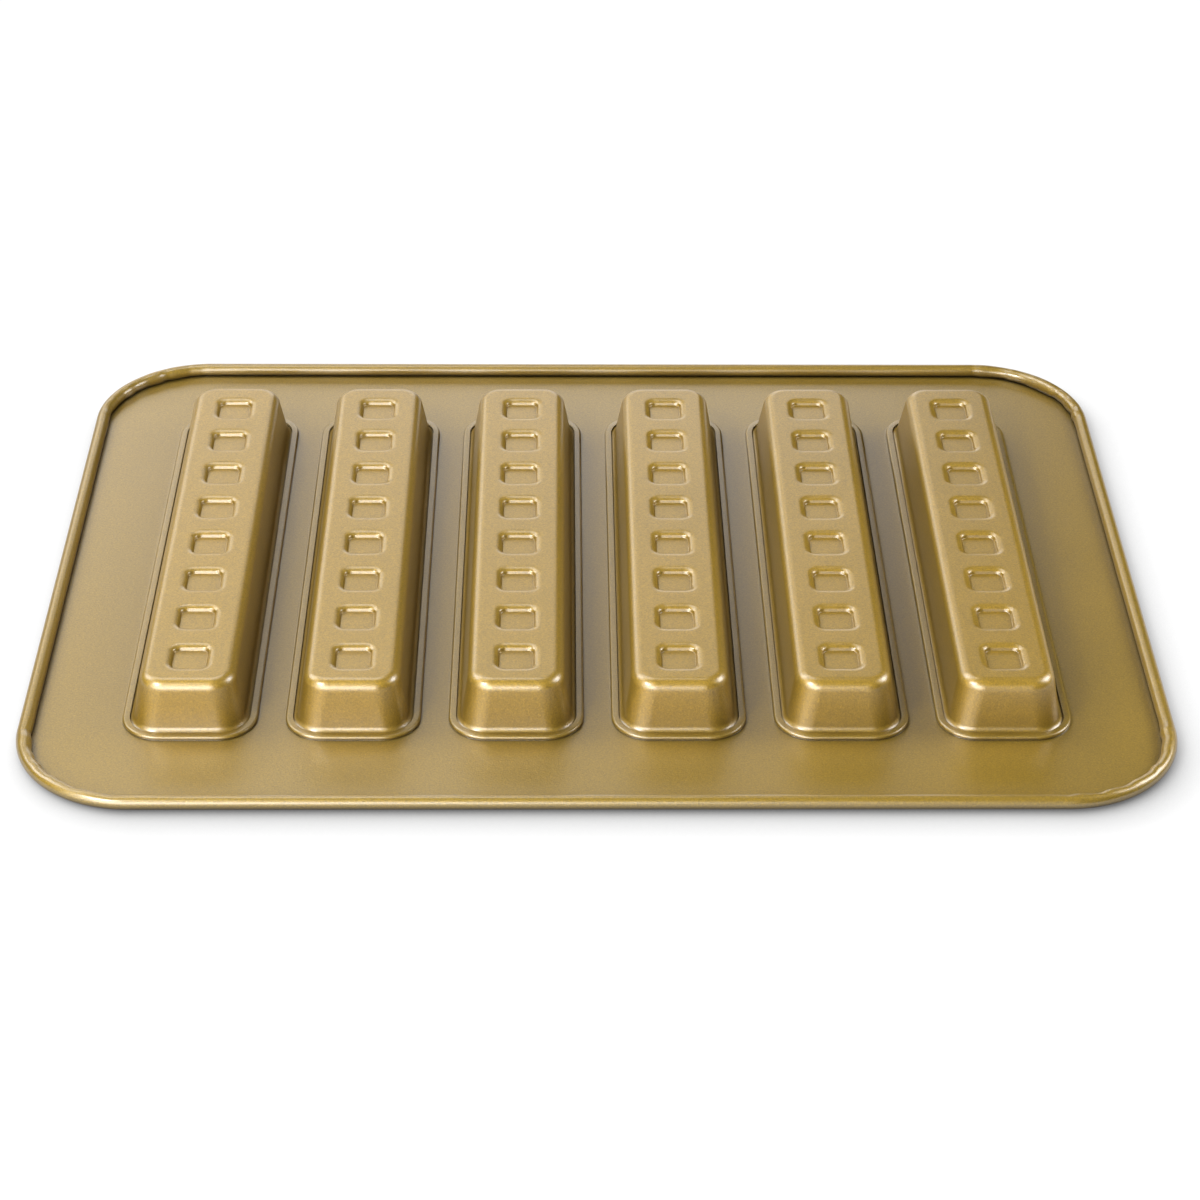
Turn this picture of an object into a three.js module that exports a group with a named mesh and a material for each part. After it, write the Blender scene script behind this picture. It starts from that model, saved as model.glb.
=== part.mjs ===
// Waffle stick pan, lying upside down with its cups standing up, as bakeware is laid to dry.
// Millimetres, +Z up, +X along the row of cups. The origin is under the middle of the deck, on the
// flat food face that the pan lies on. Six pressed cups are crimped into the openings of one deck
// sheet, whose outer edge is rolled around a steel wire.
import * as THREE from 'three';

// Sheet metal
const DECK_GAUGE = 0.6;
const CUP_GAUGE = 0.6;

// Waffle squares pressed into each cup floor
const WAFFLE_COUNT = 8;
const WAFFLE_SIZE = 16.2;
const WAFFLE_WALL_RUN = 2.0;
const WAFFLE_DEPTH = 1.8;
const WAFFLE_CORNER_RADIUS = 3.6;
const WAFFLE_FLOOR_RADIUS = 2.0;
const WAFFLE_GAP = 8.2;
const FLOOR_SIDE_LAND = 5.7;
const FLOOR_END_LAND = 6.2;

// Cups
const CUP_COUNT = 6;
const CUP_HEIGHT = 20.0;
const WALL_DRAFT_DEG = 9.8;
const FLOOR_EDGE_RADIUS = 3.0;
const FOOT_RADIUS = 2.6;
const WALL_CORNER_RADIUS = 8.8;
const FLANGE_WIDTH = 3.1;

// Crimped seams between cups and deck
const SEAM_CLEARANCE = 0.3;
const SEAM_UNDERCUT = 0.2;
const SEAM_BEND_RADIUS = 0.3;
const SEAM_LIP_LENGTH = 0.8;
const SEAM_LIP_GAUGE = 0.4;
const SEAM_SPACING = 9.5;

// Deck and rim
const DECK_END_MARGIN = 34.9;
const DECK_SIDE_MARGIN = 39.5;
const DECK_CORNER_RADIUS = 42.7;
const WIRE_DIAMETER = 3.2;
const WIRE_CLEARANCE = 0.3;
const CURL_EDGE_GAP = 0.47;

// Facets
const CUP_CORNER_STEPS = 3;
const WAFFLE_CORNER_STEPS = 2;
const RIM_CORNER_STEPS = 7;
const FILLET_STEPS = 3;
const SEAM_BEND_STEPS = 2;
const CURL_STEPS = 10;
const WIRE_SIDES = 8;

// Cup floor, as the flat that holds the waffle squares
const WAFFLE_PITCH = WAFFLE_SIZE + WAFFLE_GAP;
const FLOOR_WIDTH = WAFFLE_SIZE + 2 * FLOOR_SIDE_LAND;
const FLOOR_LENGTH = WAFFLE_COUNT * WAFFLE_SIZE + (WAFFLE_COUNT - 1) * WAFFLE_GAP + 2 * FLOOR_END_LAND;

// Cup section, as spread beyond the floor flat against height
const QUARTER = Math.PI / 2;
const DRAFT = THREE.MathUtils.degToRad(WALL_DRAFT_DEG);
const FLANGE_TOP = SEAM_LIP_GAUGE + SEAM_CLEARANCE + CUP_GAUGE;
const HALF_BEND = (QUARTER - DRAFT) / 2;
const WALL_TOP_SPREAD = FLOOR_EDGE_RADIUS * Math.tan(HALF_BEND);
const WALL_FOOT_SPREAD = WALL_TOP_SPREAD + (CUP_HEIGHT - FLANGE_TOP) * Math.tan(DRAFT);
const FOOT_SPREAD = WALL_FOOT_SPREAD + FOOT_RADIUS * Math.tan(HALF_BEND);
const FLANGE_SPREAD = WALL_FOOT_SPREAD + FLANGE_WIDTH;
const WALL_UPPER_END = FLOOR_EDGE_RADIUS * Math.cos(DRAFT);
const WALL_LOWER_END = FOOT_SPREAD - FOOT_RADIUS * Math.cos(DRAFT);

// Seam section, as spread beyond the floor flat against height
const SEAM_INNER_WALL = FLANGE_SPREAD + SEAM_CLEARANCE;
const SEAM_SPREAD = SEAM_INNER_WALL + DECK_GAUGE;
const SEAM_LEG_BOTTOM = FLANGE_TOP + SEAM_CLEARANCE;
const SEAM_TOP = SEAM_LEG_BOTTOM + DECK_GAUGE;
const FOOT_REACH = Math.sqrt(FOOT_RADIUS ** 2 - (FOOT_RADIUS - SEAM_CLEARANCE) ** 2);
const SEAM_LEG_END = FOOT_SPREAD - FOOT_REACH + SEAM_CLEARANCE;

// Layout of the deck
const CUP_PITCH = FLOOR_WIDTH + 2 * SEAM_SPREAD + SEAM_SPACING;
const DECK_LENGTH = (CUP_COUNT - 1) * CUP_PITCH + FLOOR_WIDTH + 2 * (SEAM_SPREAD + DECK_END_MARGIN);
const DECK_WIDTH = FLOOR_LENGTH + 2 * (SEAM_SPREAD + DECK_SIDE_MARGIN);
const WIRE_RADIUS = WIRE_DIAMETER / 2;
const CURL_INNER_RADIUS = WIRE_RADIUS + WIRE_CLEARANCE;
const CURL_OUTER_RADIUS = CURL_INNER_RADIUS + DECK_GAUGE;
const CURL_TUCK = Math.asin(1 - (DECK_GAUGE + CURL_EDGE_GAP) / CURL_OUTER_RADIUS);

// Finishes
const gold = { color: '#c0a768', roughness: 0.38, metalness: 0.85 };
const steel = { color: '#b9b7b2', roughness: 0.3, metalness: 1 };

// One ring of points round a rectangle with round corners, anticlockwise seen from above
function roundedRing(length, width, radius, steps) {
  const points = [];
  for (let corner = 0; corner < 4; corner++) {
    const signX = corner === 0 || corner === 3 ? 1 : -1;
    const signY = corner < 2 ? 1 : -1;
    const middleX = signX * (length / 2 - radius);
    const middleY = signY * (width / 2 - radius);
    for (let step = 0; step <= steps; step++) {
      const angle = (corner + step / steps) * QUARTER;
      const x = middleX + radius * Math.cos(angle);
      const y = middleY + radius * Math.sin(angle);
      points.push(new THREE.Vector2(x, y));
    }
  }
  return points;
}

// Points of an arc in a section, as [spread, height] pairs, both ends included
function sectionArc(spread, height, radius, fromAngle, toAngle, steps) {
  return Array.from({ length: steps + 1 }, (_, step) => {
    const angle = fromAngle + (toAngle - fromAngle) * step / steps;
    return [spread + radius * Math.cos(angle), height + radius * Math.sin(angle)];
  });
}

// Collects triangles of one closed skin and turns them into a geometry
class Skin {
  constructor() {
    this.positions = [];
  }

  triangle(a, b, c) {
    this.positions.push(...a.toArray(), ...b.toArray(), ...c.toArray());
  }

  // Bands of triangles through a list of rings that all have the same number of points
  loft(rings) {
    for (let level = 0; level + 1 < rings.length; level++) {
      const [lower, upper] = [rings[level], rings[level + 1]];
      for (let i = 0; i < lower.length; i++) {
        const next = (i + 1) % lower.length;
        this.triangle(lower[i], lower[next], upper[next]);
        this.triangle(lower[i], upper[next], upper[i]);
      }
    }
  }

  // A flat face inside an outline, with holes, looking up or down
  face(outline, holes, height, lookingUp) {
    const points = [outline, ...holes].flat();
    for (const [a, b, c] of THREE.ShapeUtils.triangulateShape(outline, holes)) {
      const corners = [a, b, c].map((i) => new THREE.Vector3(points[i].x, points[i].y, height));
      if (!lookingUp) corners.reverse();
      this.triangle(...corners);
    }
  }

  geometry() {
    const geometry = new THREE.BufferGeometry();
    geometry.setAttribute('position', new THREE.Float32BufferAttribute(this.positions, 3));
    geometry.computeVertexNormals();
    return geometry;
  }
}

// Outline round a cup at a spread beyond its floor flat, on the skin at a depth below the outer one;
// X is across the cup. The corner radius is even down the wall and follows the spread past its ends.
function cupOutline(spread, depth = 0) {
  const across = FLOOR_WIDTH + 2 * spread;
  const along = FLOOR_LENGTH + 2 * spread;
  const inward = depth * Math.cos(DRAFT);
  const aboveWall = Math.min(0, spread - (WALL_UPPER_END - inward));
  const belowWall = Math.max(0, spread - (WALL_LOWER_END - inward));
  const radius = WALL_CORNER_RADIUS - inward + aboveWall + belowWall;
  return roundedRing(across, along, radius, CUP_CORNER_STEPS);
}

// Outline round the deck at a distance inside its outermost edge
function deckOutline(inset) {
  const length = DECK_LENGTH - 2 * inset;
  const width = DECK_WIDTH - 2 * inset;
  return roundedRing(length, width, DECK_CORNER_RADIUS - inset, RIM_CORNER_STEPS);
}

// Outline of a waffle square, its middle at a place along the cup
function waffleOutline(middle, size, radius) {
  const outline = roundedRing(size, size, radius, WAFFLE_CORNER_STEPS);
  return outline.map((point) => new THREE.Vector2(point.x, point.y + middle));
}

function raise(outline, height, x = 0) {
  return outline.map((point) => new THREE.Vector3(point.x + x, point.y, height));
}

// One skin of a cup from flange to floor, at a depth below the outer skin
function cupRings(depth) {
  const footMiddle = FLANGE_TOP + FOOT_RADIUS;
  const edgeMiddle = CUP_HEIGHT - FLOOR_EDGE_RADIUS;
  const footRadius = FOOT_RADIUS + depth;
  const edgeRadius = FLOOR_EDGE_RADIUS - depth;
  const foot = sectionArc(FOOT_SPREAD, footMiddle, footRadius, -QUARTER, DRAFT - 2 * QUARTER, FILLET_STEPS);
  const edge = sectionArc(0, edgeMiddle, edgeRadius, DRAFT, QUARTER, FILLET_STEPS);
  const section = [[FLANGE_SPREAD, FLANGE_TOP - depth], ...foot, ...edge];
  return section.map(([spread, height]) => raise(cupOutline(spread, depth), height));
}

// A waffle square on one skin: sloping walls and a flat floor
function addWaffle(skin, middle, depth, lookingUp) {
  const slope = Math.atan2(WAFFLE_DEPTH, WAFFLE_WALL_RUN);
  const widening = depth * Math.tan(slope / 2);
  const lipSize = WAFFLE_SIZE + 2 * widening;
  const floorSize = lipSize - 2 * WAFFLE_WALL_RUN;
  const lipRadius = WAFFLE_CORNER_RADIUS + widening;
  const floorRadius = WAFFLE_FLOOR_RADIUS + widening;
  const lip = waffleOutline(middle, lipSize, lipRadius);
  const floor = waffleOutline(middle, floorSize, floorRadius);
  const floorHeight = CUP_HEIGHT - depth - WAFFLE_DEPTH;
  const rings = [raise(lip, CUP_HEIGHT - depth), raise(floor, floorHeight)];
  skin.loft(lookingUp ? rings : rings.reverse());
  skin.face(floor, [], floorHeight, lookingUp);
  return lip;
}

// A pressed cup with its flange, open below
function cupGeometry() {
  const skin = new Skin();
  skin.loft([...cupRings(CUP_GAUGE).reverse(), ...cupRings(0)]);
  for (const [depth, lookingUp] of [[0, true], [CUP_GAUGE, false]]) {
    const lips = Array.from({ length: WAFFLE_COUNT }, (_, row) => {
      const middle = (row - (WAFFLE_COUNT - 1) / 2) * WAFFLE_PITCH;
      return addWaffle(skin, middle, depth, lookingUp);
    });
    skin.face(cupOutline(0), lips, CUP_HEIGHT - depth, lookingUp);
  }
  return skin.geometry();
}

// The deck's fold round one opening, from its upper face over the flange to its lower face
function seamSection() {
  const outerRadius = SEAM_BEND_RADIUS + DECK_GAUGE;
  const bendSpread = SEAM_SPREAD - outerRadius;
  const bendHeight = SEAM_TOP - outerRadius;
  const lipEnd = SEAM_INNER_WALL - SEAM_LIP_LENGTH;
  return [
    [SEAM_SPREAD - SEAM_UNDERCUT, DECK_GAUGE],
    [SEAM_SPREAD, DECK_GAUGE + SEAM_UNDERCUT],
    ...sectionArc(bendSpread, bendHeight, outerRadius, 0, QUARTER, SEAM_BEND_STEPS),
    [SEAM_LEG_END, SEAM_TOP],
    [SEAM_LEG_END, SEAM_LEG_BOTTOM],
    ...sectionArc(bendSpread, bendHeight, SEAM_BEND_RADIUS, QUARTER, 0, SEAM_BEND_STEPS),
    [SEAM_INNER_WALL, SEAM_LIP_GAUGE],
    [lipEnd, SEAM_LIP_GAUGE],
    [lipEnd, 0],
  ];
}

// The deck sheet with its openings and its rolled rim
function deckGeometry() {
  const skin = new Skin();
  const seam = seamSection();
  const start = -QUARTER;
  const end = 2 * QUARTER + CURL_TUCK;
  const curl = [
    ...sectionArc(-CURL_OUTER_RADIUS, CURL_OUTER_RADIUS, CURL_OUTER_RADIUS, start, end, CURL_STEPS),
    ...sectionArc(-CURL_OUTER_RADIUS, CURL_OUTER_RADIUS, CURL_INNER_RADIUS, end, start, CURL_STEPS),
  ];
  skin.loft(curl.map(([spread, height]) => raise(deckOutline(-spread), height)));
  const openings = { upper: [], lower: [] };
  for (let cup = 0; cup < CUP_COUNT; cup++) {
    const x = cupX(cup);
    skin.loft(seam.map(([spread, height]) => raise(cupOutline(spread), height, x)));
    openings.upper.push(shift(cupOutline(seam[0][0]), x));
    openings.lower.push(shift(cupOutline(seam[seam.length - 1][0]), x));
  }
  const edge = deckOutline(CURL_OUTER_RADIUS);
  skin.face(edge, openings.upper, DECK_GAUGE, true);
  skin.face(edge, openings.lower, 0, false);
  return skin.geometry();
}

function shift(outline, x) {
  return outline.map((point) => new THREE.Vector2(point.x + x, point.y));
}

function cupX(cup) {
  return (cup - (CUP_COUNT - 1) / 2) * CUP_PITCH;
}

// The wire inside the rolled rim, closed on itself
function wireGeometry() {
  const skin = new Skin();
  const turn = 4 * QUARTER;
  const section = sectionArc(-CURL_OUTER_RADIUS, CURL_OUTER_RADIUS, WIRE_RADIUS, 0, turn, WIRE_SIDES);
  section[WIRE_SIDES] = section[0];
  skin.loft(section.map(([spread, height]) => raise(deckOutline(-spread), height)));
  return skin.geometry();
}

function piece(name, geometry, finish) {
  const mesh = new THREE.Mesh(geometry, new THREE.MeshStandardMaterial(finish));
  mesh.name = name;
  return mesh;
}

const pan = new THREE.Group();
pan.add(piece('deck_sheet', deckGeometry(), gold));
pan.add(piece('rim_wire', wireGeometry(), steel));
for (let cup = 0; cup < CUP_COUNT; cup++) {
  const mesh = piece(`cup_${cup + 1}`, cupGeometry(), gold);
  mesh.position.x = cupX(cup);
  pan.add(mesh);
}

export default pan;
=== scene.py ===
"""Waffle stick pan lying upside down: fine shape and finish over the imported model."""
import math
from types import SimpleNamespace
from typing import NamedTuple

import bmesh
import bpy
from mathutils import Matrix, Vector, noise


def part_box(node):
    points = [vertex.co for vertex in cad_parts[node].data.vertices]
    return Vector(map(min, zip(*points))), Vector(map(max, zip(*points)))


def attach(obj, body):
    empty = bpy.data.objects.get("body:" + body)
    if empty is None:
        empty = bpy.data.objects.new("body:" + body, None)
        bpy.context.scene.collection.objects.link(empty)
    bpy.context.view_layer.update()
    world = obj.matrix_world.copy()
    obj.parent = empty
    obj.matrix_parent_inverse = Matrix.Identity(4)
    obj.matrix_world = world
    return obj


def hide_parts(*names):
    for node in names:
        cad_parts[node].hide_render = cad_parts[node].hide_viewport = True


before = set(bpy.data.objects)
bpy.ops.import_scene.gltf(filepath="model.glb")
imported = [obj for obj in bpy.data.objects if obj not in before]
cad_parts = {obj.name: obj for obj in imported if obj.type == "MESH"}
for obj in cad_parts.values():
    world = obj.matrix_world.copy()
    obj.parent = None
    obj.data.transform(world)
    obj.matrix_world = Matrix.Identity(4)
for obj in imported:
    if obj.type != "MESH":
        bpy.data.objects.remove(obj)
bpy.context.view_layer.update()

bl_info = {
    "name": "Waffle Stick Pan",
    "version": (1, 0, 0),
    "blender": (4, 5, 0),
    "location": "View3D > Sidebar > Pan",
    "description": "Dresses a packed waffle stick pan: pressed sheets, crimped seams, gold coating",
    "category": "Object",
}

ROOT_BODY = "root"
DECK_NODE = "deck_sheet"
WIRE_NODE = "rim_wire"
CUP_NODES = sorted(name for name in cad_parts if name.startswith("cup_"))
MM = 0.001
QUARTER = math.pi / 2
SHARP_ANGLE = math.radians(50)

# Width in pixels of the square picture that the focal length is measured in
PHOTO_WIDTH = 1200

# Narrow flat bands beside the bends, which keep the shading of the flats even
BORDER = 0.4 * MM
PIT_BORDER = 2 * BORDER
FOLD_BORDER = 3 * BORDER

# Stretches round a corner of an outline and along its sides, which run along X and along Y
CUP_CORNER_STEPS = 12
CUP_SIDE_STEPS = (2, 12)
SEAM_SIDE_STEPS = (4, 36)
PIT_CORNER_STEPS = 7
PIT_SIDE_STEPS = (1, 1)
RIM_CORNER_STEPS = 72
RIM_SIDE_STEPS = (52, 34)
WIRE_CORNER_STEPS = 32
WIRE_SIDE_STEPS = (10, 7)

# Stretches along the bends of a section
CUP_BEND_STEPS = 10
PIT_BEND_STEPS = 6
PIT_INNER_STEPS = 3
SEAM_BEND_STEPS = 4
SEAM_INNER_STEPS = 2
CURL_STEPS = 24
WIRE_STEPS = 16

# Fold round a cup: its small bends, its heel's height for its undercut, the length of its waves
FOLD_FOOT_RADIUS = 0.1 * MM
FOLD_HEEL_RADIUS = 0.3 * MM
FOLD_COIN_RADIUS = 0.05 * MM
FOLD_HEEL_RISE = 1.5
WOBBLE_PITCH = 14 * MM

# Puckers of the rim: where they start round the curl, how far they run on past a corner, and, as
# shares of their height, the deepest dip and what the straight sides keep
PUCKER_START = 0.45 * QUARTER
PUCKER_RUN = 14 * MM
PUCKER_DIP = -0.4
PUCKER_STRAIGHT = 0.06

# Second, longer wave of puckers as a multiple of the first, and the rows of noise that both follow
LONG_PUCKER_PITCH = 2.7
LONG_PUCKER_HEIGHT = 0.5
PUCKER_ROW = 0.7
LONG_PUCKER_ROW = 5.3

# Range that a noise texture mostly keeps to
NOISE_RANGE = {"From Min": 0.3, "From Max": 0.7}


def linear(code):
    """An sRGB hex colour as linear red, green and blue."""
    parts = [int(code[i:i + 2], 16) / 255 for i in (1, 3, 5)]
    return [c / 12.92 if c <= 0.04045 else ((c + 0.055) / 1.055) ** 2.4 for c in parts]


def millimetres(name, description, value):
    """A length property, written in millimetres and kept in metres."""
    return bpy.props.FloatProperty(
        name=name, description=description, default=value * MM, unit="LENGTH", precision=5
    )


def degrees(name, description, value):
    """An angle property, written in degrees."""
    return bpy.props.FloatProperty(
        name=name, description=description, default=math.radians(value), subtype="ANGLE"
    )


def colour(name, description, code):
    """A colour property, written as an sRGB hex value."""
    return bpy.props.FloatVectorProperty(
        name=name, description=description, default=linear(code), subtype="COLOR", size=3,
        min=0, max=1,
    )


class PanSizes(bpy.types.PropertyGroup):
    """Sizes of the pressed sheets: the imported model's own, with finer pits, edges and seams."""
    gauge: millimetres("Sheet gauge", "Thickness of the steel sheets", 0.6)
    waffle_count: bpy.props.IntProperty(
        name="Waffle squares", description="Square pits in each cup floor", default=8, min=1
    )
    waffle_size: millimetres("Waffle size", "Width of a pit across its lip", 17.4)
    waffle_gap: millimetres("Waffle gap", "Flat land between two pits", 7.0)
    waffle_run: millimetres("Waffle wall run", "Width of a pit's wall seen from above", 2.8)
    waffle_shift: millimetres("Waffle shift", "How far the pits sit towards the front", 1.0)
    waffle_depth: millimetres("Waffle depth", "Depth of a pit", 1.8)
    waffle_wall: millimetres("Waffle wall", "Height of the steep part of a pit's wall", 1.05)
    waffle_slope: degrees("Waffle wall slope", "Steepness of a pit's wall at its foot", 66)
    waffle_lip_slope: degrees("Waffle lip slope", "Steepness of the lip over a pit's wall", 30)
    waffle_lip_radius: millimetres("Waffle lip radius", "Radius between a pit's lip and wall", 0.9)
    waffle_floor_radius: millimetres("Waffle floor corner", "Corner radius of a pit's floor", 2.1)
    waffle_foot_radius: millimetres("Waffle foot radius", "Radius at the foot of a pit wall", 0.25)
    draft: degrees("Wall draft", "Slope of the cup walls from upright", 9.8)
    edge_radius: millimetres("Floor edge radius", "Radius between cup wall and cup floor", 4.1)
    foot_radius: millimetres("Foot radius", "Radius between cup wall and flange", 2.6)
    wall_corner: millimetres("Wall corner radius", "Upright corner radius of the cup walls", 8.8)
    flange_width: millimetres("Flange width", "Width of the cup's trapped flange", 3.1)
    seam_clearance: millimetres("Seam clearance", "Gap kept between flange and fold", 0.3)
    seam_groove: millimetres("Seam groove", "Gap between the fold's raw edge and the cup", 0.45)
    seam_undercut: millimetres("Seam undercut", "How far the fold overhangs its own foot", 0.35)
    seam_bend: millimetres("Seam bend", "Outer radius of the fold", 0.9)
    seam_lip: millimetres("Seam lip", "Length of the coined lip under the flange", 0.8)
    seam_wobble: millimetres("Seam wobble", "Unevenness of the fold's outer edge", 0.06)
    deck_corner: millimetres("Deck corner", "Outer corner radius of the deck", 42.7)
    wire: millimetres("Rim wire", "Diameter of the wire inside the rim", 3.2)
    wire_clearance: millimetres("Wire clearance", "Gap kept round the wire", 0.3)
    curl_gap: millimetres("Curl gap", "Gap between the curl's raw edge and the deck", 0.47)
    pucker: millimetres("Rim pucker", "Height of the puckers where the rim turns", 0.7)
    pucker_pitch: millimetres("Pucker pitch", "Spacing of the puckers along the rim", 5.5)


class PanColours(bpy.types.PropertyGroup):
    """Colours of the coating, the wire and the stage."""
    cup_coat: colour("Cup coating", "Baked gold non-stick coating of the cups", "#AE8E2C")
    # Painted shade: the deck's coating is the cup coating made darker, standing in for the deck
    # catching less light than the cups
    shaded_deck_coat: colour("Deck coating", "The same coating, sprayed thinner on the deck", "#A48729")
    raw_edge: colour("Cut edge", "Thinly coated edge of the cut sheet", "#D8CBA6")
    wire: colour("Wire", "Drawn steel of the rim wire", "#B9B7B2")
    floor: colour("Floor", "Plain white studio floor", "#FAFAFA")


class PanView(bpy.types.PropertyGroup):
    """Where the camera stands, found from the outline of the rim and the grid of pits."""
    target: bpy.props.FloatVectorProperty(
        name="Target", description="Point on the floor at the middle of the picture",
        default=(1.65 * MM, -21.4 * MM, 0), subtype="TRANSLATION",
    )
    distance: millimetres("Distance", "From the target to the camera", 1100.8)
    elevation: degrees("Elevation", "Height of the camera, seen from the target", 33.82)
    heading: degrees("Heading", "Turn of the view to the right of the pan's own Y axis", 0.90)
    roll: degrees("Roll", "Lean of the camera", 0.52)
    focal_pixels: bpy.props.FloatProperty(
        name="Focal length", description="Focal length in pixels of the square picture",
        default=2980,
    )


class Station(NamedTuple):
    """One place on an outline: where it is, which way is out, how far along, how near a corner."""
    point: Vector
    out: Vector
    along: float
    bend: float


def stations(half_x, half_y, radius, corner_steps, side_steps, fade=0.0):
    """Stations round a rectangle with round corners; bend fades out along the straight sides.

    side_steps are the stretches on the sides along X and along Y. The first and last of them are
    narrow guards, which keep the shading of the straight sides straight.
    """
    places = []
    along = 0.0
    for corner, (sign_x, sign_y) in enumerate(((1, 1), (-1, 1), (-1, -1), (1, -1))):
        middle = Vector((sign_x * (half_x - radius), sign_y * (half_y - radius)))
        for step in range(corner_steps + 1):
            angle = QUARTER * (corner + step / corner_steps)
            out = Vector((math.cos(angle), math.sin(angle)))
            travelled = along + radius * QUARTER * step / corner_steps
            places.append(Station(middle + radius * out, out, travelled, 1.0))
        along += radius * QUARTER
        length = 2 * ((half_y if corner % 2 else half_x) - radius)
        count = side_steps[corner % 2]
        marks = [length * step / count for step in range(1, count)]
        for mark in [BORDER, *marks, length - BORDER]:
            bend = max(0.0, 1 - min(mark, length - mark) / fade) if fade else 0.0
            point = middle + radius * out + mark * Vector((-out.y, out.x))
            places.append(Station(point, out, along + mark, bend))
        along += length
    return places


def rounded_path(corners, steps, shift=0.0, guard=0.0):
    """A section of straight stretches joined by arcs of some steps, moved to its left by a shift.

    Each corner is (spread, height, radius); the radius of the two ends isn't used. A guard adds a
    point that far beyond each end of an arc, which keeps the shading of the straights straight.
    """
    points = [Vector(corner[:2]) for corner in corners]
    ways = [(b - a).normalized() for a, b in zip(points, points[1:])]
    path = [points[0] + shift * Vector((-ways[0].y, ways[0].x))]
    for corner, point, before, after in zip(corners[1:], points[1:], ways, ways[1:]):
        turn = before.x * after.y - before.y * after.x
        side = math.copysign(1, turn)
        angle = math.acos(max(-1, min(1, before.dot(after))))
        radius = corner[2]
        left = Vector((-before.y, before.x))
        middle = point - before * radius * math.tan(angle / 2) + left * side * radius
        arm = -side * left * (radius - side * shift)
        turns = [side * angle * step / steps for step in range(steps + 1)]
        arc = [middle + Matrix.Rotation(turned, 2) @ arm for turned in turns]
        if guard:
            arc = [arc[0] - guard * before, *arc, arc[-1] + guard * after]
        path += arc
    path.append(points[-1] + shift * Vector((-ways[-1].y, ways[-1].x)))
    return [(p.x, p.y) for p in path]


class Shell:
    """A closed sheet-metal skin, put together from lofted rings and flat fills."""

    def __init__(self, x=0.0, y=0.0):
        self.bm = bmesh.new()
        self.place = Vector((x, y))

    def ring(self, places, spread, height, middle=Vector((0, 0)), change=None):
        """Vertices round an outline; change moves each one's spread and height a little."""
        verts = []
        for place in places:
            more_spread, more_height = change(place) if change else (0, 0)
            flat = self.place + middle + place.point + place.out * (spread + more_spread)
            verts.append(self.bm.verts.new((flat.x, flat.y, height + more_height)))
        return verts

    def loft(self, rings, slots=None):
        """Quads between each two rings; slots gives the material of each band."""
        for band, (low, high) in enumerate(zip(rings, rings[1:])):
            for i, vert in enumerate(low):
                after = (i + 1) % len(low)
                face = self.bm.faces.new((vert, low[after], high[after], high[i]))
                face.material_index = slots[band] if slots else 0

    def fill(self, loops):
        """Flat face inside the first loop, with the other loops as holes."""
        edges = []
        for loop in loops:
            for a, b in zip(loop, loop[1:] + loop[:1]):
                edges.append(self.bm.edges.get((a, b)) or self.bm.edges.new((a, b)))
        bmesh.ops.triangle_fill(self.bm, edges=edges, use_beauty=True, normal=(0, 0, 1))

    def finish(self, name, node, materials):
        """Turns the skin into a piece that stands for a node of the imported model."""
        bmesh.ops.recalc_face_normals(self.bm, faces=self.bm.faces)
        open_edges = [edge for edge in self.bm.edges if not edge.is_manifold]
        if open_edges:
            raise RuntimeError(f"{name} has {len(open_edges)} open edges")
        mesh = bpy.data.meshes.new(name)
        self.bm.to_mesh(mesh)
        self.bm.free()
        for polygon in mesh.polygons:
            polygon.use_smooth = True
        mesh.set_sharp_from_angle(angle=SHARP_ANGLE)
        for material in materials:
            mesh.materials.append(material)
        piece = bpy.data.objects.new(name, mesh)
        bpy.context.scene.collection.objects.link(piece)
        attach(piece, ROOT_BODY)
        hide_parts(node)


def cup_shape(sizes, node):
    """Places and spreads of one cup, from its node's box and the sheet sizes."""
    low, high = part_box(node)
    half = (high - low) / 2
    half_bend = (QUARTER - sizes.draft) / 2
    shape = SimpleNamespace(height=high.z, flange_top=low.z + sizes.gauge)
    shape.x = (low.x + high.x) / 2
    shape.y = (low.y + high.y) / 2
    shape.wall_top = sizes.edge_radius * math.tan(half_bend)
    shape.wall_foot = shape.wall_top + (high.z - shape.flange_top) * math.tan(sizes.draft)
    shape.flange = shape.wall_foot + sizes.flange_width
    shape.half_x = half.x - shape.flange
    shape.half_y = half.y - shape.flange
    shape.seam_inside = shape.flange + sizes.seam_clearance
    shape.seam = shape.seam_inside + sizes.gauge
    shape.leg_bottom = shape.flange_top + sizes.seam_clearance
    shape.seam_top = shape.leg_bottom + sizes.gauge
    reach = math.sqrt(sizes.foot_radius**2 - (sizes.foot_radius - sizes.seam_clearance) ** 2)
    foot = shape.wall_foot + sizes.foot_radius * math.tan(half_bend)
    shape.leg_end = foot - reach + sizes.seam_groove
    shape.wall_upper_end = sizes.edge_radius * math.cos(sizes.draft)
    shape.wall_lower_end = foot - sizes.foot_radius * math.cos(sizes.draft)
    return shape


def cup_places(sizes, shape, spread, side_steps, depth=0.0):
    """Stations round a cup, at a spread beyond its floor's flat and a depth below its outer skin.

    The corner radius is even down the wall and follows the spread past the wall's ends.
    """
    inward = depth * math.cos(sizes.draft)
    above_wall = min(0.0, spread - (shape.wall_upper_end - inward))
    below_wall = max(0.0, spread - (shape.wall_lower_end - inward))
    radius = sizes.wall_corner - inward + above_wall + below_wall
    halves = (shape.half_x + spread, shape.half_y + spread)
    return stations(*halves, radius, CUP_CORNER_STEPS, side_steps)


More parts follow.
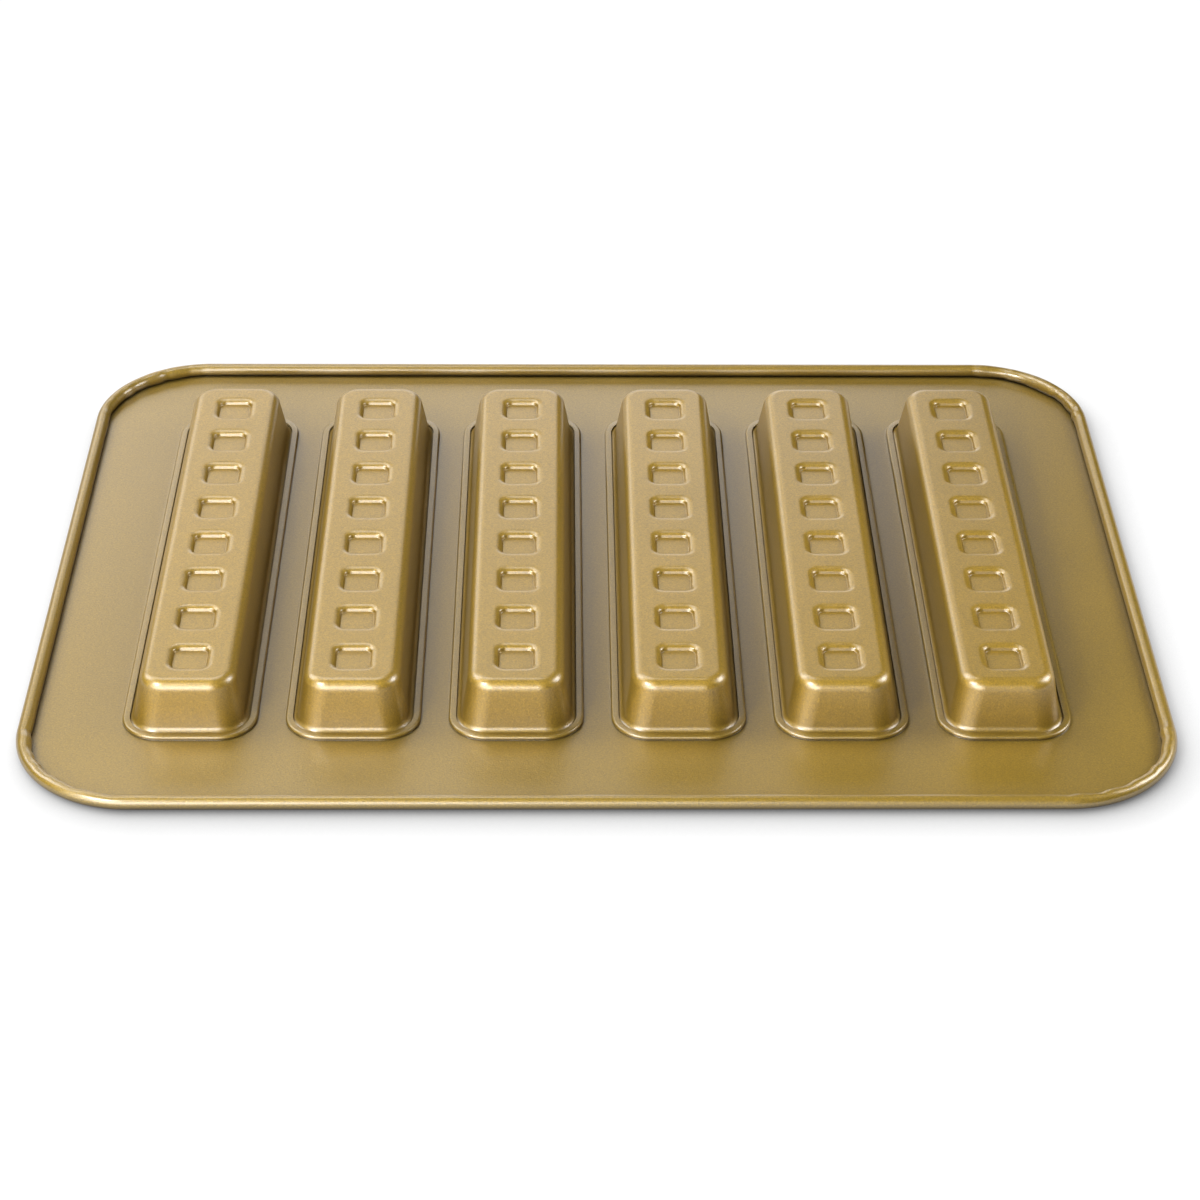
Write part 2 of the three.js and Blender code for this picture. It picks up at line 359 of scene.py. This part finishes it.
def cup_skin(sizes, shape, depth):
    """Section of one skin of a cup, from the flange's edge to the floor's flat."""
    corners = [
        (shape.flange, shape.flange_top, 0),
        (shape.wall_foot, shape.flange_top, sizes.foot_radius),
        (shape.wall_top, shape.height, sizes.edge_radius),
        (-BORDER, shape.height, 0),
    ]
    return rounded_path(corners, CUP_BEND_STEPS, depth, BORDER)


def pit_skin(sizes, shape, depth):
    """Section of one skin of a pit, from the land round it, over a soft lip, to its floor."""
    floor = shape.height - sizes.waffle_depth
    wall = sizes.waffle_wall / math.tan(sizes.waffle_slope)
    land = wall + (sizes.waffle_depth - sizes.waffle_wall) / math.tan(sizes.waffle_lip_slope)
    land_radius = (sizes.waffle_run - land) / math.tan(sizes.waffle_lip_slope / 2)
    corners = [
        (sizes.waffle_run + PIT_BORDER, shape.height, 0),
        (land, shape.height, land_radius),
        (wall, floor + sizes.waffle_wall, sizes.waffle_lip_radius),
        (0, floor, sizes.waffle_foot_radius),
        (-PIT_BORDER, floor, 0),
    ]
    return rounded_path(corners, PIT_INNER_STEPS if depth else PIT_BEND_STEPS, depth)


def add_floor_pits(shell, sizes, path):
    """Pits along one skin of a cup floor; returns the loops where the land meets them."""
    half = sizes.waffle_size / 2 - sizes.waffle_run
    places = stations(half, half, sizes.waffle_floor_radius, PIT_CORNER_STEPS, PIT_SIDE_STEPS)
    pitch = sizes.waffle_size + sizes.waffle_gap
    loops = []
    for row in range(sizes.waffle_count):
        middle = Vector((0, (row - (sizes.waffle_count - 1) / 2) * pitch - sizes.waffle_shift))
        rings = [shell.ring(places, spread, height, middle) for spread, height in path]
        shell.loft(rings)
        shell.bm.faces.new(rings[-1])
        loops.append(rings[0])
    return loops


def make_cup(sizes, node, materials):
    """A drawn cup with its flange, its rounded edges and the pits in its floor."""
    shape = cup_shape(sizes, node)
    shell = Shell(shape.x, shape.y)
    skins = []
    for depth in (sizes.gauge, 0.0):
        rings = []
        for spread, height in cup_skin(sizes, shape, depth):
            places = cup_places(sizes, shape, spread, CUP_SIDE_STEPS, depth)
            rings.append(shell.ring(places, 0, height))
        shell.fill([rings[-1]] + add_floor_pits(shell, sizes, pit_skin(sizes, shape, depth)))
        skins.append(rings)
    shell.loft(skins[0][::-1] + skins[1])
    shell.finish(node.replace("cup", "waffle_cup"), node, materials)


def add_seam(shell, sizes, shape):
    """The deck's fold round one opening; returns its loops on the upper and lower face."""
    foot = shape.seam - sizes.seam_undercut
    lip_end = shape.seam_inside - sizes.seam_lip
    lip_top = shape.flange_top - sizes.gauge - sizes.seam_clearance
    upper = rounded_path([
        (shape.seam + FOLD_BORDER, sizes.gauge, 0),
        (foot, sizes.gauge, FOLD_FOOT_RADIUS),
        (shape.seam, sizes.gauge + FOLD_HEEL_RISE * sizes.seam_undercut, FOLD_HEEL_RADIUS),
        (shape.seam, shape.seam_top, sizes.seam_bend),
        (shape.leg_end, shape.seam_top, 0),
    ], SEAM_BEND_STEPS)
    lower = rounded_path([
        (shape.leg_end, shape.leg_bottom, 0),
        (shape.seam_inside, shape.leg_bottom, sizes.seam_bend - sizes.gauge),
        (shape.seam_inside, lip_top, FOLD_COIN_RADIUS),
        (lip_end, lip_top, FOLD_COIN_RADIUS),
        (lip_end, 0, FOLD_FOOT_RADIUS),
        (lip_end + FOLD_BORDER, 0, 0),
    ], SEAM_INNER_STEPS)
    middle = Vector((shape.x, shape.y))

    def wobble(place):
        """The fold's outer edge is a little uneven, and every fold differs."""
        seat = Vector((place.along / WOBBLE_PITCH, shape.x / MM, 0))
        return sizes.seam_wobble * noise.noise(seat), 0

    rings = []
    for spread, height in upper + lower:
        places = cup_places(sizes, shape, spread, SEAM_SIDE_STEPS)
        uneven = wobble if height > shape.leg_bottom and spread > shape.leg_end else None
        rings.append(shell.ring(places, 0, height, middle, uneven))
    slots = [0] * (len(rings) - 1)
    slots[len(upper) - 1] = 1
    shell.loft(rings, slots)
    return rings[0], rings[-1]


def add_curl(shell, sizes, half):
    """The rim rolled round its wire; returns its loops on the upper and lower face."""
    inside = sizes.wire / 2 + sizes.wire_clearance
    outside = inside + sizes.gauge
    start = -QUARTER
    end = 2 * QUARTER + math.asin(1 - (sizes.gauge + sizes.curl_gap) / outside)
    outline = (half.x, half.y, sizes.deck_corner)
    places = stations(*outline, RIM_CORNER_STEPS, RIM_SIDE_STEPS, fade=PUCKER_RUN)
    long_pitch = LONG_PUCKER_PITCH * sizes.pucker_pitch

    def puckers(angle):
        """Waves on the inner side of the rim, where the sheet was gathered round a corner."""
        share = max(0.0, min(1.0, (angle - PUCKER_START) / QUARTER))
        reach = sizes.pucker * share * share * (3 - 2 * share)

        def change(place):
            wave = noise.noise(Vector((place.along / sizes.pucker_pitch, PUCKER_ROW, 0)))
            longer = noise.noise(Vector((place.along / long_pitch, LONG_PUCKER_ROW, 0)))
            wave += LONG_PUCKER_HEIGHT * longer
            kept = PUCKER_STRAIGHT + (1 - PUCKER_STRAIGHT) * place.bend
            size = max(PUCKER_DIP, wave) * reach * kept
            return size * math.cos(angle), size * math.sin(angle)

        return change

    flat = (-outside - FOLD_BORDER, 0)
    rings = [shell.ring(places, *flat)]
    for radius, angles in ((outside, (start, end)), (inside, (end, start))):
        for step in range(CURL_STEPS + 1):
            angle = angles[0] + (angles[1] - angles[0]) * step / CURL_STEPS
            spread = -outside + radius * math.cos(angle)
            height = outside + radius * math.sin(angle)
            rings.append(shell.ring(places, spread, height, change=puckers(angle)))
    rings.append(shell.ring(places, flat[0], sizes.gauge))
    slots = [0] * (len(rings) - 1)
    slots[CURL_STEPS + 1] = 1
    shell.loft(rings, slots)
    return rings[-1], rings[0]


def make_deck(sizes, materials):
    """The deck sheet with its rolled rim and a crimped fold round every opening."""
    low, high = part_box(DECK_NODE)
    shell = Shell()
    upper_edge, lower_edge = add_curl(shell, sizes, (high - low) / 2)
    loops = [add_seam(shell, sizes, cup_shape(sizes, node)) for node in CUP_NODES]
    shell.fill([upper_edge] + [loop[0] for loop in loops])
    shell.fill([lower_edge] + [loop[1] for loop in loops])
    shell.finish("pressed_deck", DECK_NODE, materials)


def make_wire(sizes, material):
    """The round wire that stiffens the rim, closed on itself."""
    low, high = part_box(DECK_NODE)
    half = (high - low) / 2
    axis = sizes.wire / 2 + sizes.wire_clearance + sizes.gauge
    shell = Shell()
    places = stations(half.x, half.y, sizes.deck_corner, WIRE_CORNER_STEPS, WIRE_SIDE_STEPS)
    rings = []
    for step in range(WIRE_STEPS):
        angle = 4 * QUARTER * step / WIRE_STEPS
        spread = -axis + sizes.wire / 2 * math.cos(angle)
        rings.append(shell.ring(places, spread, axis + sizes.wire / 2 * math.sin(angle)))
    shell.loft(rings + rings[:1])
    shell.finish("drawn_wire", WIRE_NODE, [material])


def add_node(tree, kind, inputs=None, **settings):
    """Adds a node; an input is given as a value or as the socket that feeds it."""
    node = tree.nodes.new(kind)
    for name, value in settings.items():
        setattr(node, name, value)
    for name, value in (inputs or {}).items():
        if isinstance(value, bpy.types.NodeSocket):
            tree.links.new(value, node.inputs[name])
        else:
            node.inputs[name].default_value = value
    return node


def new_material(name):
    """An empty node material and its tree."""
    material = bpy.data.materials.new(name)
    material.use_nodes = True
    material.node_tree.nodes.clear()
    return material, material.node_tree


def per_metre(size):
    """Texture scale at which one feature is as wide as a real size."""
    return 1 / size


def gold_coating(name, coat):
    """Baked gold non-stick coating sprayed on steel sheet.

    Metal flake gives a soft satin shine with a fine sparkle, and the spray leaves a slight
    orange peel and a faint cloudiness. Flake is finer than a pixel, so it is drawn about 0.6 mm
    wide. Shade is painted into the base colour: darker in corners and between parts, and darkest
    in creases and folds, where nearby surfaces hide the light.
    """
    flake_size, peel_size, cloud_size = 0.6 * MM, 1.7 * MM, 55 * MM
    peel_rise, flake_rise = 0.12 * MM, 0.14 * MM
    corner_shade_reach, crease_shade_reach = 30 * MM, 2.5 * MM
    material, tree = new_material(name)
    place = add_node(tree, "ShaderNodeTexCoord").outputs["Object"]
    # Painted shade: occlusion over 30 mm darkens the base colour in corners and between parts, and
    # occlusion over 2.5 mm darkens it further in creases and folds
    corner = add_node(tree, "ShaderNodeAmbientOcclusion", {"Distance": corner_shade_reach}, samples=4)
    painted_corner_shade = add_node(tree, "ShaderNodeMapRange", {
        "Value": corner.outputs["AO"],
        "From Min": 0.2, "From Max": 0.95, "To Min": 0.45, "To Max": 1.0,
    })
    fold = add_node(tree, "ShaderNodeAmbientOcclusion", {"Distance": crease_shade_reach}, samples=4)
    painted_crease_shade = add_node(tree, "ShaderNodeMapRange", {
        "Value": fold.outputs["AO"],
        "From Min": 0.25, "From Max": 0.7, "To Min": 0.25, "To Max": 1.0,
    })
    flake = add_node(tree, "ShaderNodeTexNoise", {
        "Vector": place, "Scale": per_metre(flake_size),
        "Detail": 2.0, "Roughness": 0.6, "Distortion": 0.8,
    })
    peel = add_node(tree, "ShaderNodeTexNoise", {
        "Vector": place, "Scale": per_metre(peel_size), "Detail": 1.0, "Distortion": 0.8,
    })
    cloud = add_node(tree, "ShaderNodeTexNoise", {
        "Vector": place, "Scale": per_metre(cloud_size), "Detail": 2.0,
    })
    shade = add_node(tree, "ShaderNodeMapRange", {
        "Value": flake.outputs["Fac"], **NOISE_RANGE, "To Min": 0.72, "To Max": 1.26,
    })
    drift = add_node(tree, "ShaderNodeMapRange", {
        "Value": cloud.outputs["Fac"], **NOISE_RANGE, "To Min": 0.97, "To Max": 1.02,
    })
    both = add_node(tree, "ShaderNodeMath", {
        0: shade.outputs["Result"], 1: drift.outputs["Result"],
    }, operation="MULTIPLY")
    painted_shade = add_node(tree, "ShaderNodeMath", {
        0: painted_corner_shade.outputs["Result"], 1: painted_crease_shade.outputs["Result"],
    }, operation="MULTIPLY")
    # The grain's random tone times the painted shade of corners and creases
    depth = add_node(tree, "ShaderNodeMath", {
        0: both.outputs["Value"], 1: painted_shade.outputs["Value"],
    }, operation="MULTIPLY")
    tint = add_node(tree, "ShaderNodeVectorMath", {
        0: tuple(coat), "Scale": depth.outputs["Value"],
    }, operation="SCALE")
    gloss = add_node(tree, "ShaderNodeMapRange", {
        "Value": cloud.outputs["Fac"], **NOISE_RANGE, "To Min": 0.63, "To Max": 0.69,
    })
    peel_bump = add_node(tree, "ShaderNodeBump", {
        "Height": peel.outputs["Fac"], "Strength": 0.8, "Distance": peel_rise,
    })
    flake_bump = add_node(tree, "ShaderNodeBump", {
        "Height": flake.outputs["Fac"], "Strength": 1.0, "Distance": flake_rise,
        "Normal": peel_bump.outputs["Normal"],
    })
    # Flake lies close under the surface, so the coat mirrors more than a clear film would
    shader = add_node(tree, "ShaderNodeBsdfPrincipled", {
        "Base Color": tint.outputs["Vector"],
        "Metallic": 1.0,
        "Roughness": gloss.outputs["Result"],
        "Normal": flake_bump.outputs["Normal"],
        "Coat Weight": 1.0,
        "Coat Roughness": 0.33,
        "Coat IOR": 2.05,
        "Specular Tint": (*coat, 1),
    })
    add_node(tree, "ShaderNodeOutputMaterial", {"Surface": shader.outputs["BSDF"]})
    return material


def cut_edge(colours):
    """Sheared steel edge under a thin coat: paler and brighter than the face, with fine burrs."""
    burr_size = 1.2 * MM
    material, tree = new_material("sheared_steel_edge")
    place = add_node(tree, "ShaderNodeTexCoord").outputs["Object"]
    burr = add_node(tree, "ShaderNodeTexNoise", {
        "Vector": place, "Scale": per_metre(burr_size), "Detail": 3.0,
    })
    shade = add_node(tree, "ShaderNodeMapRange", {
        "Value": burr.outputs["Fac"], **NOISE_RANGE, "To Min": 0.75, "To Max": 1.0,
    })
    tint = add_node(tree, "ShaderNodeVectorMath", {
        0: tuple(colours.raw_edge), "Scale": shade.outputs["Result"],
    }, operation="SCALE")
    gloss = add_node(tree, "ShaderNodeMapRange", {
        "Value": burr.outputs["Fac"], **NOISE_RANGE, "To Min": 0.3, "To Max": 0.5,
    })
    shader = add_node(tree, "ShaderNodeBsdfPrincipled", {
        "Base Color": tint.outputs["Vector"], "Metallic": 1.0, "Roughness": gloss.outputs["Result"],
    })
    add_node(tree, "ShaderNodeOutputMaterial", {"Surface": shader.outputs["BSDF"]})
    return material


def drawn_steel(colours):
    """Cold-drawn steel wire: bright grey, with die marks that dull its shine unevenly."""
    mark_size = 0.9 * MM
    material, tree = new_material("drawn_steel_wire")
    place = add_node(tree, "ShaderNodeTexCoord").outputs["Object"]
    marks = add_node(tree, "ShaderNodeTexNoise", {
        "Vector": place, "Scale": per_metre(mark_size), "Detail": 3.0,
    })
    gloss = add_node(tree, "ShaderNodeMapRange", {
        "Value": marks.outputs["Fac"], **NOISE_RANGE, "To Min": 0.22, "To Max": 0.4,
    })
    shade = add_node(tree, "ShaderNodeMapRange", {
        "Value": marks.outputs["Fac"], **NOISE_RANGE, "To Min": 0.85, "To Max": 1.0,
    })
    tint = add_node(tree, "ShaderNodeVectorMath", {
        0: tuple(colours.wire), "Scale": shade.outputs["Result"],
    }, operation="SCALE")
    shader = add_node(tree, "ShaderNodeBsdfPrincipled", {
        "Base Color": tint.outputs["Vector"], "Metallic": 1.0, "Roughness": gloss.outputs["Result"],
    })
    add_node(tree, "ShaderNodeOutputMaterial", {"Surface": shader.outputs["BSDF"]})
    return material


def white_floor(colours):
    """Matt white studio sweep: the pan's shadow shows, and the rest of it stays near white.

    Seen straight or mirrored, most of it is an even glow, which keeps it near white under any lamp.
    A shadow is painted into the floor's colour and its glow: darker where the pan hides the
    directions towards the back left, so it lies under the pan's front and right edge.
    """
    glow_share = 0.85
    painted_shadow_reach = 16 * MM
    painted_shadow_way = {"X": -0.4, "Y": 0.65, "Z": 0.65}
    material, tree = new_material("white_paper_sweep")
    path = add_node(tree, "ShaderNodeLightPath")
    seen = add_node(tree, "ShaderNodeMath", {
        0: path.outputs["Is Camera Ray"], 1: path.outputs["Is Glossy Ray"],
    }, operation="MAXIMUM")
    seen = add_node(tree, "ShaderNodeMath", {
        0: seen.outputs["Value"], 1: path.outputs["Is Transmission Ray"],
    }, operation="MAXIMUM")
    share = add_node(tree, "ShaderNodeMath", {
        0: seen.outputs["Value"], 1: glow_share,
    }, operation="MULTIPLY")
    # Painted shadow: occlusion looking towards the back left darkens both the paper and its glow
    # near the pan
    room = add_node(tree, "ShaderNodeCombineXYZ", painted_shadow_way)
    shade = add_node(tree, "ShaderNodeAmbientOcclusion", {
        "Color": (*colours.floor, 1), "Distance": painted_shadow_reach, "Normal": room.outputs["Vector"],
    })
    paper = add_node(tree, "ShaderNodeBsdfDiffuse", {"Color": shade.outputs["Color"]})
    glow = add_node(tree, "ShaderNodeEmission", {
        "Color": (1, 1, 1, 1), "Strength": shade.outputs["AO"],
    })
    mix = add_node(tree, "ShaderNodeMixShader", {
        0: share.outputs["Value"], 1: paper.outputs["BSDF"], 2: glow.outputs["Emission"],
    })
    add_node(tree, "ShaderNodeOutputMaterial", {"Surface": mix.outputs["Shader"]})
    return material


LAMPS = {
    # name: (place in metres, width and height in metres, power in watts)
    "key": ((-0.61, -0.61, 0.83), (0.2, 0.2), 9.0),
    "front_key": ((-0.55, -1.30, 0.60), (1.1, 0.8), 13.0),
    "front_left_fill": ((-1.88, -3.26, 1.37), (5.0, 2.6), 95.0),
    "right": ((0.75, 0.10, 0.50), (0.4, 0.4), 4.6),
    "left_back": ((-2.49, 1.44, 2.78), (1.8, 1.8), 60.0),
    "back_left": ((-0.70, 1.30, 0.60), (0.6, 0.6), 2.7),
    "back_low": ((0.0, 3.76, 1.37), (1.7, 1.7), 16.5),
    "back": ((0.0, 1.40, 0.35), (0.6, 0.6), 0.8),
    "top": ((-0.20, 0.40, 0.90), (0.5, 0.5), 2.4),
}


def place_lamp(name, place, size, power):
    """A soft rectangular lamp that faces the middle of the pan."""
    light = bpy.data.lights.new(name, "AREA")
    light.shape = "RECTANGLE"
    light.size, light.size_y = size
    light.energy = power
    lamp = bpy.data.objects.new(name, light)
    lamp.location = place
    lamp.rotation_euler = (-Vector(place)).to_track_quat("-Z", "Y").to_euler()
    bpy.context.scene.collection.objects.link(lamp)


def place_camera(view):
    """The camera at the photograph's viewing angle, for a square picture."""
    camera = bpy.data.cameras.new("camera")
    camera.sensor_width = 36.0
    camera.lens = view.focal_pixels * camera.sensor_width / PHOTO_WIDTH
    turn = Matrix.Rotation(-view.heading, 4, "Z")
    turn = turn @ Matrix.Rotation(QUARTER - view.elevation, 4, "X")
    turn = turn @ Matrix.Rotation(view.roll, 4, "Z")
    back = turn.to_3x3() @ Vector((0, 0, 1))
    holder = bpy.data.objects.new("camera", camera)
    holder.matrix_world = Matrix.Translation(Vector(view.target) + back * view.distance) @ turn
    bpy.context.scene.collection.objects.link(holder)
    bpy.context.scene.camera = holder


def place_floor(material):
    """A wide floor just under the pan."""
    reach = 6.0
    depth = -0.05 * MM
    mesh = bpy.data.meshes.new("floor")
    signs = ((-1, -1), (1, -1), (1, 1), (-1, 1))
    corners = [(x * reach, y * reach, depth) for x, y in signs]
    mesh.from_pydata(corners, [], [(0, 1, 2, 3)])
    mesh.materials.append(material)
    floor = bpy.data.objects.new("floor", mesh)
    bpy.context.scene.collection.objects.link(floor)


def darken_world():
    """A dark room, so that only the lamps and the floor light the pan."""
    world = bpy.data.worlds.new("dark_room")
    world.use_nodes = True
    tree = world.node_tree
    tree.nodes.clear()
    walls = add_node(tree, "ShaderNodeBackground", {"Strength": 0.0})
    add_node(tree, "ShaderNodeOutputWorld", {"Surface": walls.outputs["Background"]})
    bpy.context.scene.world = world


class PAN_OT_make_deck(bpy.types.Operator):
    """Make the pressed deck with its rolled rim and crimped seams"""
    bl_idname = "pan.make_deck"
    bl_label = "Make deck"

    def execute(self, context):
        colours = context.scene.pan_colours
        # The deck takes the darker copy of the coating, as painted shade
        coat = gold_coating("gold_nonstick_deck", colours.shaded_deck_coat)
        make_deck(context.scene.pan_sizes, [coat, cut_edge(colours)])
        return {"FINISHED"}


class PAN_OT_make_cups(bpy.types.Operator):
    """Make the drawn cups with the pits in their floors"""
    bl_idname = "pan.make_cups"
    bl_label = "Make cups"

    def execute(self, context):
        coat = gold_coating("gold_nonstick_cup", context.scene.pan_colours.cup_coat)
        for node in CUP_NODES:
            make_cup(context.scene.pan_sizes, node, [coat])
        return {"FINISHED"}


class PAN_OT_make_wire(bpy.types.Operator):
    """Make the wire inside the rolled rim"""
    bl_idname = "pan.make_wire"
    bl_label = "Make rim wire"

    def execute(self, context):
        make_wire(context.scene.pan_sizes, drawn_steel(context.scene.pan_colours))
        return {"FINISHED"}


class PAN_OT_set_stage(bpy.types.Operator):
    """Set the floor, the lamps and the camera"""
    bl_idname = "pan.set_stage"
    bl_label = "Set stage"

    def execute(self, context):
        place_floor(white_floor(context.scene.pan_colours))
        for name, (place, size, power) in LAMPS.items():
            place_lamp(name, place, size, power)
        darken_world()
        place_camera(context.scene.pan_view)
        context.scene.view_settings.view_transform = "Standard"
        return {"FINISHED"}


OPERATORS = (PAN_OT_make_deck, PAN_OT_make_cups, PAN_OT_make_wire, PAN_OT_set_stage)
GROUPS = {"pan_sizes": PanSizes, "pan_colours": PanColours, "pan_view": PanView}


class PAN_PT_sidebar(bpy.types.Panel):
    """Lists the pan's operators, sizes, colours and view"""
    bl_label = "Waffle Stick Pan"
    bl_idname = "PAN_PT_sidebar"
    bl_space_type = "VIEW_3D"
    bl_region_type = "UI"
    bl_category = "Pan"

    def draw(self, context):
        for operator in OPERATORS:
            self.layout.operator(operator.bl_idname)
        for group in GROUPS:
            box = self.layout.box()
            settings = getattr(context.scene, group)
            for name in settings.bl_rna.properties.keys():
                if name not in ("rna_type", "name"):
                    box.prop(settings, name)


CLASSES = (*GROUPS.values(), *OPERATORS, PAN_PT_sidebar)


def register():
    """Registers the classes and gives every scene the pan's settings."""
    for cls in CLASSES:
        bpy.utils.register_class(cls)
    for name, group in GROUPS.items():
        setattr(bpy.types.Scene, name, bpy.props.PointerProperty(type=group))


def unregister():
    """Takes the settings and the classes away again."""
    for name in GROUPS:
        delattr(bpy.types.Scene, name)
    for cls in reversed(CLASSES):
        bpy.utils.unregister_class(cls)


def main():
    """Makes every piece and the stage."""
    register()
    bpy.ops.pan.make_deck()
    bpy.ops.pan.make_cups()
    bpy.ops.pan.make_wire()
    bpy.ops.pan.set_stage()


if __name__ == "__main__":
    main()
